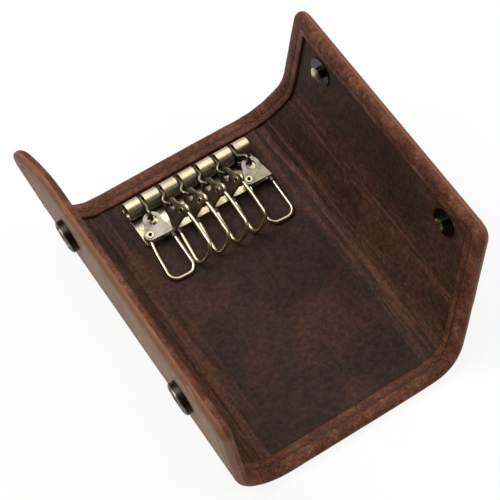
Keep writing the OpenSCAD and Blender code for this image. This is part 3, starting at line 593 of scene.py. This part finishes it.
def edge_path(s_from, s_to, flap_edge, leather):
    """Outer and inner line of the edge strip, in flat coordinates: along one short side, round the free
    corners by a curve of second degree, and along the free edge where there is one. The inner line lies
    one rim width in; at a corner many outer points share one inner point."""
    rim, reach = leather.rim_width / MM, leather.corner_reach / MM
    if flap_edge is None:
        s = np.linspace(s_from, s_to, int(abs(s_to - s_from) / PATH_STEP) + 1)
        top = np.stack([s, half_length(s)], -1)
        inner = top - [0, rim]
        return [(top, inner), (top * [1, -1], inner * [1, -1])]
    sign = 1 if flap_edge > 0 else -1
    s_in = flap_edge - sign * rim
    s = np.linspace(s_from, s_in, int(abs(s_in - s_from) / PATH_STEP) + 1)
    side_out = np.stack([s, half_length(s)], -1)
    side_in = side_out - [0, rim]
    inner_corner = side_in[-1]
    top_corner = np.array([flap_edge, half_length(flap_edge)])
    start = np.array([flap_edge - sign * reach, half_length(flap_edge - sign * reach)])
    end = top_corner - [0, reach]
    t = np.linspace(0, 1, 14)[:, None]
    bend = (1 - t) ** 2 * start + 2 * t * (1 - t) * top_corner + t * t * end
    lead = np.linspace(side_out[-1], start, 4)[1:-1]
    drop = np.linspace(end, [flap_edge, inner_corner[1]], 4)[1:-1]
    corner_out = np.concatenate([lead, bend, drop])
    corner_in = np.repeat(inner_corner[None], len(corner_out), 0)
    rows = int(2 * inner_corner[1] / FACE_STEP)
    y = np.linspace(inner_corner[1], -inner_corner[1], rows + 1)
    free_out = np.stack([np.full(y.shape, flap_edge), y], -1)
    free_in = np.stack([np.full(y.shape, s_in), y], -1)
    return [tuple(
        np.concatenate([side, corner, free, corner[::-1] * [1, -1], side[::-1] * [1, -1]])
        for side, corner, free in ((side_out, corner_out, free_out), (side_in, corner_in, free_in)))]


def gathered(s, away):
    """Small puckers of the turned-in strip where a crease crosses it: sine waves along s under a bell
    curve, slanted by the distance away from the edge."""
    puckers = 0
    for c, w in zip(CREASES, (4.0, 3.5, 4.5, 4.5)):
        puckers = puckers + 0.22 * np.sin((s - c) * 3.4 + away * 0.5) * np.exp(-((s - c) / w) ** 2)
    return puckers


def strip_height(s, d, low):
    """Height of the edge profile at s and at the distances d from the edge: the profile's own height,
    with puckers and a share of the lining's waves on the turned-in strip, which starts from the lining
    at height low."""
    order = np.arange(len(d))
    top = (order > 0) & (order < RIM_POINTS)
    puckers = gathered(s, d) * top * np.clip(d / PUCKER_START, 0, 1)
    return np.where(order == 0, low, EDGE_PROFILE[:, 1] + puckers + np.where(top, WAVE_SHARE * low, 0.0))


def leather_piece(name, s_from, s_to, flap_edge, leather, materials):
    """One closed leather piece between a seam and a free edge, or between two seams: the edge profile
    carried along the edge path, the lining face, the outer face, and a flat cap at each seam."""
    rim = leather.rim_width / MM
    d = EDGE_PROFILE[:, 0] * rim / RIM
    parts = []

    def add(s, y, h, faces, slot, gap):
        olive = np.clip((s - OLIVE_S) / OLIVE_LEN, 0, 1)
        parts.append((folded(s, y, h, leather), faces, slot,
                      {"edge_gap": gap, "fold": fold_wear(s), "olive": olive}))

    for outer, inner in edge_path(s_from, s_to, flap_edge, leather):
        share = (d / rim)[None, :, None]
        flat = outer[:, None] * (1 - share) + inner[:, None] * share
        s, y = flat[..., 0], flat[..., 1]
        h = strip_height(s, d, lining_height(inner[:, 0], inner[:, 1])[:, None])
        faces = grid_faces(len(outer), len(d))
        on_top = faces[:, 0] % len(d) < RIM_POINTS - 1
        add(s, y, h, faces[on_top], 1, d)
        add(s, y, h, faces[~on_top], 2, d)
    stop = s_to if flap_edge is None else flap_edge - math.copysign(rim, flap_edge)
    line = np.linspace(s_from, stop, int(abs(stop - s_from) / PATH_STEP) + 1)
    rows = int(2 * (half_length(stop) - rim) / FACE_STEP)
    across = np.linspace(1, -1, rows + 1)
    s = np.repeat(line[:, None], rows + 1, 1)
    y = across[None, :] * (half_length(s) - rim)
    faces = grid_faces(len(line), rows + 1)
    add(s, y, lining_height(s, y), faces, 0, NO_EDGE)
    add(s, y, np.full(s.shape, -BOARD), faces, 2, NO_EDGE)
    half = len(d) // 2
    for cut in ([s_from] if flap_edge is not None else [s_from, s_to]):
        edge = half_length(cut)
        s = np.full((2, rows + 1), cut)
        y = np.stack([across * (edge - rim)] * 2)
        h = np.stack([lining_height(s[0], y[0]), np.full(rows + 1, -BOARD)])
        add(s, y, h, grid_faces(2, rows + 1), 2, NO_EDGE)
        s = np.full(len(d), cut)
        for sign in (1, -1):
            y = sign * (edge - d)
            h = strip_height(s, d, lining_height(s[0], y[0]))
            y, h = (np.stack([v[:half], v[::-1][:half]]) for v in (y, h))
            add(np.full(y.shape, cut), y, h, grid_faces(2, half), 2, NO_EDGE)
    return make_piece(name, parts, materials, attributes=("edge_gap", "fold", "olive"))


BEAD_RINGS, BEAD_SIDES = 7, 8  # points of a stitch from pole to pole and round it
BEAD_THICK, BEAD_BLUNT = 0.24, 0.6  # half its thickness, and the power that blunts its ends
STITCH_LEVELS = (0.80, -2.80)  # height of the stitches on the lining's side and on the outer face
LOOK = 0.4  # a stitch points from this far behind it to this far ahead


def stitch_piece(name, s_from, s_to, flap_edge, leather, material):
    """Stitches in the stitch line of both faces, at even steps: each a small bead whose half width is
    the cosine of the latitude to a power, and whose place along the line is its sine."""
    inset, rim = leather.stitch_inset / MM, leather.rim_width / MM
    pitch = leather.stitch_pitch / MM
    lat = np.linspace(-np.pi / 2, np.pi / 2, BEAD_RINGS)
    lon = np.arange(BEAD_SIDES) * 2 * np.pi / BEAD_SIDES
    u = np.sin(lat)[:, None] * (leather.stitch_length / MM) / 2 + 0 * lon
    fat = np.cos(lat)[:, None] ** BEAD_BLUNT
    v = fat * np.cos(lon) * (leather.stitch_width / MM) / 2
    w = fat * np.sin(lon) * BEAD_THICK
    parts = []
    for outer, inner in edge_path(s_from, s_to, flap_edge, leather):
        line = outer + (inner - outer) * (inset / rim)
        line = line[np.r_[True, np.linalg.norm(np.diff(line, axis=0), axis=1) > 1e-6]]
        run = np.r_[0, np.cumsum(np.linalg.norm(np.diff(line, axis=0), axis=1))]
        count = int(run[-1] / pitch)
        at = (np.arange(count) + 0.5) * run[-1] / count
        centre, ahead, behind = (np.stack([np.interp(at + shift, run, line[:, k]) for k in (0, 1)], -1)
                                 for shift in (0.0, LOOK, -LOOK))
        way = unit(ahead - behind)
        side = np.stack([-way[:, 1], way[:, 0]], -1)
        flat = (centre[:, None, None] + u[None, ..., None] * way[:, None, None]
                + v[None, ..., None] * side[:, None, None])
        for level in STITCH_LEVELS:
            points = folded(flat[..., 0], flat[..., 1], level + w[None], leather)
            faces = grid_faces(len(lat), len(lon), wrap=True)
            block = len(lat) * len(lon)
            everyone = (faces[None] + (np.arange(count) * block)[:, None, None]).reshape(-1, 4)
            parts.append((points, everyone, 0, {}))
    return make_piece(name, parts, [material])


# name, from, to, free edge, the two bodies, the crease it bends at, the leather and thread it stands for
LEATHER_PIECES = (
    ("left_flap", -SEAM_L, -EDGE_L, -EDGE_L, ("left_spine", "left_flap"), -CREASE_L[1],
     ("left_flap_cover", "left_flap_board", "left_flap_lining"), ("left_flap_stitching",)),
    ("left_base", 0.0, -SEAM_L, None, ("centre", "left_spine"), -CREASE_L[0],
     ("left_spine_cover", "left_spine_lining"), ("left_spine_stitching",)),
    ("right_base", 0.0, SEAM_R, None, ("centre", "right_spine"), CREASE_R[0],
     ("right_spine_cover", "right_spine_lining", "centre_cover", "centre_board", "centre_lining"),
     ("right_spine_stitching", "centre_stitching")),
    ("right_flap", SEAM_R, EDGE_R, EDGE_R, ("right_spine", "right_flap"), CREASE_R[1],
     ("right_flap_cover", "right_flap_board", "right_flap_lining"), ("right_flap_stitching",)),
)


def add_bending(piece, leather, crease, nodes):
    """Bakes a piece's place into its mesh and hides the CAD nodes it stands for. The ends of the arc at
    its crease are worked out, but nothing uses them.
    """
    reach = (leather.left_bend if crease < 0 else leather.right_bend) / MM * math.copysign(1.0, crease)
    start, end = (tuple(folded(crease - reach * k, 0.0, np.zeros(1), leather)[0] * MM) for k in (1, -1))
    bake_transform(piece)
    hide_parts(*nodes)


# ---------- the hooks ----------
# Millimetres and degrees, as in the CAD model.

PITCH, ROD_Y, ROD_Z = 7.0, 45.2, 6.75
LINK_LEN, LINK_BEND, LINK_EXIT = 5.2, 1.8, 3.2  # rod to plate, radius of the ends, end of the tube
HOOK_YAW, HOOK_ROLL = 3.0, 57.0
EYELET_SIDE = (-1, 1, 1, 1, 1, -1)  # which side of the plate the eyelet is on
LEANING = (0, 1, 1, 1, 1, 0)  # 1 for hooks that lean on their side
SPREAD = (-0.6, 0, 0, 0, 0, 2.4)  # how far the plates have slid along the rod
RAISED, FLAT = (-20.0, 0.5), (-10.0, 6.5)  # fall of the link and of the plate
EYE_U, EYE_V, EYE_R, EYE_ROOM = 3.1, 6.8, 0.9, 0.08  # eyelet: across, down, shank, room round it
LOOP_W, LOOP_LEN, LOOP_CORNER, LOOP_N = 9.0, 17.4, 3.2, -1.08  # LOOP_N: below the plate's middle
LEG_SIDE, LEG_TOP, FREE_TOP, LEG_BOW = 0.6, 1.38, 0.7, 0.25  # the loop's ends, off the eyelet
SLEEVE_FROM, SLEEVE_LEN, SLEEVE_WALL, SLEEVE_DENT = 0.9, 2.3, 0.35, 0.1


def turn(axis, degrees):
    return np.array(Matrix.Rotation(math.radians(degrees), 3, axis))


def on_rod(i):
    return np.array([(i - 2.5) * PITCH, ROD_Y, ROD_Z])


def hook_frame(i):
    """Origin and axes of hook plate i in mm: x across, -y down the plate, z out of its upper face."""
    link_drop, plate_drop = RAISED if LEANING[i] else FLAT
    origin = on_rod(i) + turn("X", link_drop) @ np.array([SPREAD[i], -LINK_LEN, 0])
    axes = turn("X", plate_drop) @ turn("Z", -HOOK_YAW) @ turn("Y", -HOOK_ROLL * LEANING[i])
    return origin, axes @ np.diag([EYELET_SIDE[i], 1.0, 1.0])


def to_hook(i, points):
    origin, axes = hook_frame(i)
    return origin + np.asarray(points) @ axes.T


def link_points(i):
    """Middle line of link i: a half circle about the rod, a leg, a half circle, a leg. Past the tube the
    plane of the link turns by the hook's roll and shifts by its spread."""
    a = np.linspace(0, np.pi, 15)
    arc = np.stack([np.sin(a), np.cos(a)], -1) * LINK_BEND
    down = np.linspace(0, -LINK_LEN, 12)[1:-1]
    side = np.full(down.shape, LINK_BEND)
    flat = np.concatenate([arc, np.stack([down, -side], -1),
                           [-LINK_LEN, 0] - arc, np.stack([down[::-1], side], -1)])
    t = np.clip((-flat[:, 0] - LINK_EXIT) / (LINK_LEN - LINK_EXIT), 0, 1)
    ease = t * t * (3 - 2 * t)
    roll = np.radians(HOOK_ROLL * LEANING[i]) * ease
    shift = SPREAD[i] * ease
    path = np.stack([shift - flat[:, 1] * np.sin(roll), flat[:, 0], flat[:, 1] * np.cos(roll)], -1)
    across = np.stack([np.cos(roll), 0 * roll, np.sin(roll)], -1)
    drop = turn("X", (RAISED if LEANING[i] else FLAT)[0])
    return on_rod(i) + path @ drop.T, across @ drop.T


def loop_line():
    """Middle line of a key loop in its hook's frame: leg, quarter circle, end, quarter circle, leg."""
    c, top_u = LOOP_W / 2 - LOOP_CORNER, EYE_U + LEG_SIDE
    top_v, free_v = EYE_V + LEG_TOP, EYE_V + FREE_TOP
    corner_at = EYE_V + LOOP_LEN - LOOP_CORNER
    a = np.linspace(0, np.pi / 2, 12)
    first = np.stack([c + LOOP_CORNER * np.cos(a), -corner_at - LOOP_CORNER * np.sin(a)], -1)
    second = np.stack([-c - LOOP_CORNER * np.sin(a), -corner_at - LOOP_CORNER * np.cos(a)], -1)
    leg = np.linspace([top_u, -top_v], first[0], 8)[:-1]
    leg[:, 0] += LEG_BOW * np.sin(np.linspace(0, np.pi, len(leg)))
    free = np.linspace(second[-1], [-top_u, -free_v], 8)[1:]
    flat = np.concatenate([leg, first, second, free])
    return np.concatenate([flat, np.zeros((len(flat), 1))], 1)


# ---------- operators ----------

# From where to where, in mm off the lining, the blackened metal turns bright.
SOCKET_BLACK, STUD_BLACK = (4.95, 5.15), (1.35, 1.7)


class KEYCASE_OT_stage(bpy.types.Operator):
    """Camera, floor and lights"""
    bl_idname = "keycase.stage"
    bl_label = "Stage"

    def execute(self, context):
        s = context.scene.keycase_stage
        camera_data = bpy.data.cameras.new("camera")
        camera_data.sensor_width = 36.0
        camera_data.lens = s.lens
        camera_data.clip_start, camera_data.clip_end = 0.01, 10.0
        camera = show("camera", camera_data)
        camera.location = s.camera_place
        camera.rotation_euler = Euler(s.camera_turn, "XYZ")
        context.scene.camera = camera
        context.scene.view_settings.view_transform = "Standard"
        self.floor(s)
        self.lamp("key_light", s.key_power, (-0.25, 0.35, 0.75), 0.5)
        self.lamp("fill_light", s.fill_power, (0.55, -0.35, 0.55), 0.4)
        self.surround(context, s)
        return {"FINISHED"}

    def floor(self, s):
        n = Surface("table")
        seen = n.new("LightPath").outputs["Is Camera Ray"]
        speckle = n.ramp(n.noise(n.place, 60.0, 3.0), 0.3, 0.7)
        base = n.mix(speckle, s.floor_colour, times(s.floor_colour, 0.97))
        n.link(base, n.shader.inputs["Base Color"])
        n.shader.inputs["Roughness"].default_value = 0.9
        white = n.new("Emission", {"Color": (1, 1, 1, 1), "Strength": 1.0})
        n.link(n.either(n.math("MULTIPLY", seen, 0.86), n.shader, white).outputs[0], n.output.inputs[0])
        reach, level = 4.0, -2e-5
        corners = [(x * reach, y * reach, level) for x, y in ((-1, -1), (1, -1), (1, 1), (-1, 1))]
        mesh = bpy.data.meshes.new("table")
        mesh.from_pydata(corners, [], [(0, 1, 2, 3)])
        mesh.materials.append(n.material)
        show("table", mesh)

    def lamp(self, name, power, place, size):
        data = bpy.data.lights.new(name, "AREA")
        data.energy = power
        data.size = size
        lamp = show(name, data)
        lamp.location = place
        lamp.rotation_euler = (-Vector(place)).to_track_quat("-Z", "Y").to_euler()

    def surround(self, context, s):
        """White for the camera, an even glow for dull surfaces, and for shiny ones a dark room with a
        bright side, which grows with the dot product of the way seen and band_way."""
        world = bpy.data.worlds.new("surround")
        w = Nodes(world)
        seen = w.new("LightPath").outputs
        way = w.new("TexCoord").outputs["Generated"]
        band = w.new("MapRange", {
            "Value": w.ahead(way, Vector(s.band_way).normalized()), "From Min": s.band_low,
            "From Max": s.band_high, "To Min": s.room_strength, "To Max": s.band_strength,
        }, interpolation_type="SMOOTHSTEP").outputs["Result"]
        even = w.new("Background", {"Color": (1.0, 0.99, 0.97, 1), "Strength": s.sky_strength})
        mirrored = w.new("Background", {"Color": (1.0, 0.98, 0.94, 1), "Strength": band})
        white = w.new("Background", {"Color": (1, 1, 1, 1)})
        around = w.either(seen["Is Camera Ray"], w.either(seen["Is Glossy Ray"], even, mirrored), white)
        w.new("OutputWorld", {0: around.outputs[0]})
        context.scene.world = world


class KEYCASE_OT_leather(bpy.types.Operator):
    """The four leather pieces, each bending at one crease"""
    bl_idname = "keycase.leather"
    bl_label = "Leather"

    def execute(self, context):
        s = context.scene.keycase_leather
        materials = [lining_material(s), edge_material(s), outer_material(s)]
        for name, start, end, edge, bodies, crease, nodes, _ in LEATHER_PIECES:
            piece = leather_piece(name + "_leather", start, end, edge, s, materials)
            add_bending(piece, s, crease, nodes)
        return {"FINISHED"}


class KEYCASE_OT_stitches(bpy.types.Operator):
    """Stitches along every edge, on both faces"""
    bl_idname = "keycase.stitches"
    bl_label = "Stitches"

    def execute(self, context):
        s = context.scene.keycase_leather
        material = thread_material(s)
        for name, start, end, edge, bodies, crease, _, nodes in LEATHER_PIECES:
            piece = stitch_piece(name + "_stitches", start, end, edge, s, material)
            add_bending(piece, s, crease, nodes)
        return {"FINISHED"}


class KEYCASE_OT_rail(bpy.types.Operator):
    """Base plate with the slotted tube, the rod and the rivets"""
    bl_idname = "keycase.rail"
    bl_label = "Key rail"

    def execute(self, context):
        s = context.scene.keycase_metal
        brass = metal_material("rail brass", s, s.brass_colour, 0.35, 0.20, (1.0, 0.05, 0.05))
        steel = metal_material("rod steel", s, s.steel_colour, 0.6, 0.3)
        dressed_copy("key_rail", "rail", brass, "centre", "antique_brass", s.edge_round)
        dressed_copy("rail_rod", "rod", steel, "centre", "steel", 0.0)
        dressed_copy("rail_rivets", "rivets", brass, "centre", "antique_brass", s.edge_round)
        return {"FINISHED"}


class KEYCASE_OT_hooks(bpy.types.Operator):
    """Six hooks: link, plate, eyelet, key loop and sleeve"""
    bl_idname = "keycase.hooks"
    bl_label = "Hooks"

    def execute(self, context):
        s = context.scene.keycase_metal
        wire = metal_material("wire brass", s, s.brass_colour, 0.45, 0.2)
        dull = metal_material("link brass", s, times(s.brass_colour, 0.26), 1.0, 0.2, film=0.6)
        plate = metal_material("plate brass", s, times(s.brass_colour, 0.72), 0.8, 0.26, (1.0, 0.08, 1.0))
        grey = metal_material("plate worn grey", s, s.grey_colour, 0.7, 0.3, (1.0, 0.08, 1.0))
        ring = metal_material("eyelet brass", s, s.brass_colour, 0.25, 0.18)
        dark = metal_material("sleeve dark brass", s, s.dark_colour, 0.6, 0.35)
        for i in range(6):
            k = i + 1
            path, across = link_points(i)
            wire_piece(f"hook_{k}_link", [tube(path, s.link_wire / MM / 2, across, closed=True)], dull,
                       f"link_{k}", f"link_{k}", "antique_brass")
            metal, slot = (plate, "antique_brass") if LEANING[i] else (grey, "nickel")
            dressed_copy(f"clip_plate_{k}", f"hook_{k}_plate", metal, f"hook_{k}", slot, s.edge_round)
            dressed_copy(f"clip_eyelet_{k}", f"hook_{k}_eyelet", ring, f"hook_{k}", "antique_brass",
                         s.edge_round)
            self.key_loop(i, s.loop_wire / MM / 2, wire, dark)
        return {"FINISHED"}

    def key_loop(self, i, radius, wire, dark):
        """The loop's wire with its turn round the eyelet, and the sleeve crimped on its free end: girth
        grows as a root at both ends of the sleeve, and a dent goes round its middle."""
        k = i + 1
        up = hook_frame(i)[1][:, 2]
        lift = np.array([0, 0, LOOP_N])
        a = np.linspace(0, 2 * np.pi, 25)[:-1]
        eye_r = EYE_R + EYE_ROOM + radius
        eye = np.stack([EYE_U + eye_r * np.cos(a), -EYE_V + eye_r * np.sin(a), 0 * a], -1)
        line = loop_line()
        wires = [tube(to_hook(i, eye + lift), radius, up, closed=True),
                 tube(to_hook(i, line + lift), radius, up)]
        wire_piece(f"hook_{k}_loop", wires, wire, f"loop_{k}", f"key_loop_{k}", "antique_brass")
        way = unit(line[-8] - line[-1])
        t = np.linspace(0, 1, 12)
        sleeve = line[-1] + way * (SLEEVE_FROM + SLEEVE_LEN * t)[:, None] + lift
        girth = radius + SLEEVE_WALL * np.clip(np.minimum(t, 1 - t) * 7, 0, 1) ** 0.5
        girth = girth - SLEEVE_DENT * (np.abs(t - 0.5) < 0.12)
        wire_piece(f"hook_{k}_sleeve", [tube(to_hook(i, sleeve), girth, up)], dark,
                   f"loop_{k}", f"loop_crimp_{k}", "dark_brass")


class KEYCASE_OT_buttons(bpy.types.Operator):
    """Press buttons: sockets, springs and flat caps on the left, studs and domed caps on the right"""
    bl_idname = "keycase.buttons"
    bl_label = "Press buttons"

    def execute(self, context):
        s = context.scene.keycase_metal
        socket = metal_material("socket dark brass", s, s.grey_colour, 0.9, 0.25,
                                black=(SOCKET_FOOT, (-math.sin(LEFT_RISE), 0, -math.cos(LEFT_RISE)),
                                       *SOCKET_BLACK))
        brass = metal_material("button brass", s, times(s.brass_colour, 0.6), 0.6, 0.24)
        stud = metal_material("stud brass", s, s.brass_colour, 0.4, 0.2,
                              black=(STUD_FOOT, (-math.sin(RIGHT_RISE), 0, math.cos(RIGHT_RISE)),
                                     *STUD_BLACK))
        steel = metal_material("spring steel", s, s.steel_colour, 0.5, 0.3)
        for node, name, material, body, slot in (
                ("snap_sockets", "sockets", socket, "left_flap", "dark_brass"),
                ("socket_backs", "socket_caps", brass, "left_flap", "antique_brass"),
                ("socket_springs", "springs", steel, "left_flap", "steel"),
                ("snap_studs", "studs", stud, "right_flap", "antique_brass"),
                ("stud_caps", "stud_domes", brass, "right_flap", "antique_brass")):
            rounding = 0.0 if material is steel else s.edge_round
            dressed_copy(node, name, material, body, slot, rounding)
        return {"FINISHED"}


class KEYCASE_PT_panel(bpy.types.Panel):
    """The key case's settings and steps"""
    bl_label = "Key Case"
    bl_idname = "KEYCASE_PT_panel"
    bl_space_type = "VIEW_3D"
    bl_region_type = "UI"
    bl_category = "Key Case"

    def draw(self, context):
        layout = self.layout
        for group in SETTINGS:
            box = layout.box()
            settings = getattr(context.scene, group)
            for key in settings.bl_rna.properties.keys():
                if key not in ("rna_type", "name"):
                    box.prop(settings, key)
        for step in STEPS:
            layout.operator(step.bl_idname)


STEPS = (KEYCASE_OT_stage, KEYCASE_OT_leather, KEYCASE_OT_stitches, KEYCASE_OT_rail, KEYCASE_OT_hooks,
         KEYCASE_OT_buttons)
SETTINGS = {"keycase_leather": LeatherSettings, "keycase_metal": MetalSettings,
            "keycase_stage": StageSettings}
CLASSES = (*SETTINGS.values(), *STEPS, KEYCASE_PT_panel)


def register():
    for cls in CLASSES:
        bpy.utils.register_class(cls)
    for key, group in SETTINGS.items():
        setattr(bpy.types.Scene, key, bpy.props.PointerProperty(type=group))


def unregister():
    for key in SETTINGS:
        delattr(bpy.types.Scene, key)
    for cls in reversed(CLASSES):
        bpy.utils.unregister_class(cls)


def main():
    register()
    bpy.ops.keycase.stage()
    bpy.ops.keycase.leather()
    bpy.ops.keycase.stitches()
    bpy.ops.keycase.rail()
    bpy.ops.keycase.hooks()
    bpy.ops.keycase.buttons()


if __name__ == "__main__":
    main()
